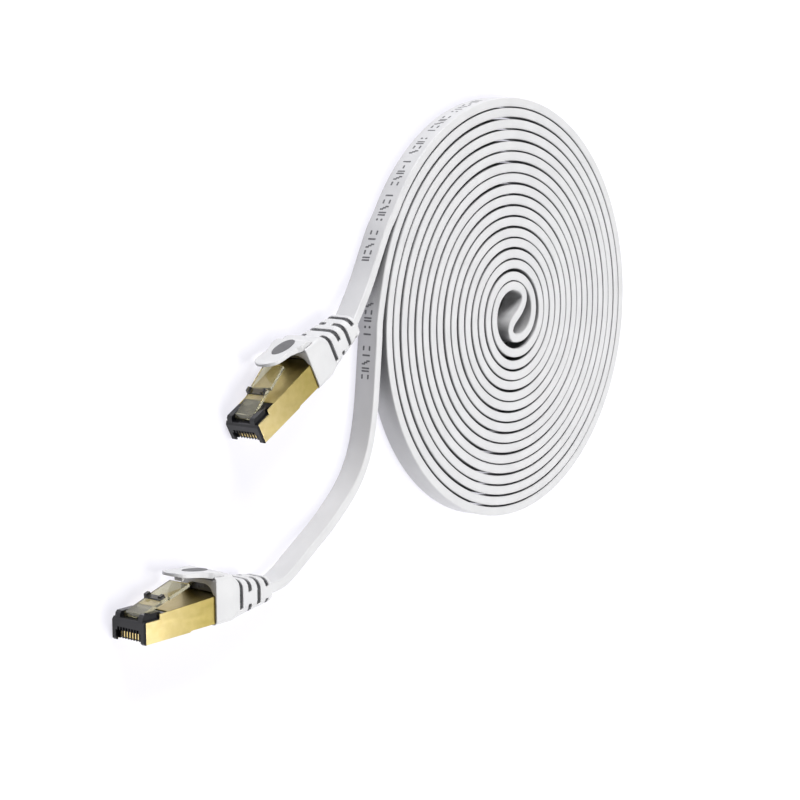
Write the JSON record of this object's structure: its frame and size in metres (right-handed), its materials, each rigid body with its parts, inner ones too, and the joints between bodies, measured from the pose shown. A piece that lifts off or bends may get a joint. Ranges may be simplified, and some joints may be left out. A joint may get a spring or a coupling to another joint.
{
  "type": "ethernet patch cable",
  "caption": "Flat network patch cable wound double into a flat coil, with a shielded modular plug, a sprung latch and a slotted boot on each end.",
  "frame": {"origin": "centre of the coil, on the surface that the coil lies on", "axes": "+Z along the coil's axis, up from the surface; +X away from the two plugs, level with plug B's length to within 3 degrees; +Y towards the side where the latches are"},
  "size_m": [0.2399, 0.136, 0.0132],
  "materials": {
    "jacket": "satin",
    "smoked_plastic": "gloss",
    "gold_plate": "satin",
    "contact_gold": "polished",
    "clear_plastic": "gloss",
    "wire_insulation": "satin",
    "foil": "satin",
    "crimp_metal": "satin",
    "dark_mould": "matte",
    "boot_white": "satin",
    "pad_grey": "matte"
  },
  "bodies": {
    "cable": {"cable_coil": "jacket", "cable_tail_a": "jacket", "cable_tail_b": "jacket", "plug_a_housing": "smoked_plastic", "plug_a_shield_shell": "gold_plate", "plug_a_contacts": "contact_gold", "plug_a_load_bar": "clear_plastic", "plug_a_conductors": "wire_insulation", "plug_a_foil_pairs": "foil", "plug_a_crimp_band": "crimp_metal", "plug_a_inner_mould": "dark_mould", "plug_a_boot": "boot_white", "plug_b_housing": "smoked_plastic", "plug_b_shield_shell": "gold_plate", "plug_b_contacts": "contact_gold", "plug_b_load_bar": "clear_plastic", "plug_b_conductors": "wire_insulation", "plug_b_foil_pairs": "foil", "plug_b_crimp_band": "crimp_metal", "plug_b_inner_mould": "dark_mould", "plug_b_boot": "boot_white"},
    "guard_a": {"plug_a_latch_guard": "boot_white", "plug_a_thumb_pad": "pad_grey"},
    "latch_a": {"plug_a_latch_lever": "smoked_plastic"},
    "guard_b": {"plug_b_latch_guard": "boot_white", "plug_b_thumb_pad": "pad_grey"},
    "latch_b": {"plug_b_latch_lever": "smoked_plastic"}
  },
  "joints": [
    {"name": "guard_a_press", "type": "hinge", "parent": "cable", "child": "guard_a", "pos_m": [-0.10417, 0.00386, 0.0066], "axis": [0, 0, 1], "range_deg": [0, 15], "stiffness_Nm_per_rad": 0.1},
    {"name": "latch_a_press", "type": "hinge", "parent": "cable", "child": "latch_a", "pos_m": [-0.12405, -0.01231, 0.0066], "axis": [0, 0, -1], "range_deg": [0, 9.3], "stiffness_Nm_per_rad": 0.1},
    {"name": "guard_b_press", "type": "hinge", "parent": "cable", "child": "guard_b", "pos_m": [-0.14388, -0.05247, 0.0066], "axis": [0, 0, 1], "range_deg": [0, 15], "stiffness_Nm_per_rad": 0.1},
    {"name": "latch_b_press", "type": "hinge", "parent": "cable", "child": "latch_b", "pos_m": [-0.1691, -0.05698, 0.0066], "axis": [0, 0, -1], "range_deg": [0, 9.3], "stiffness_Nm_per_rad": 0.1}
  ],
  "couplings": [
    {"joint": "latch_a_press", "follows": "guard_a_press", "ratio": 0.6},
    {"joint": "latch_b_press", "follows": "guard_b_press", "ratio": 0.6}
  ]
}
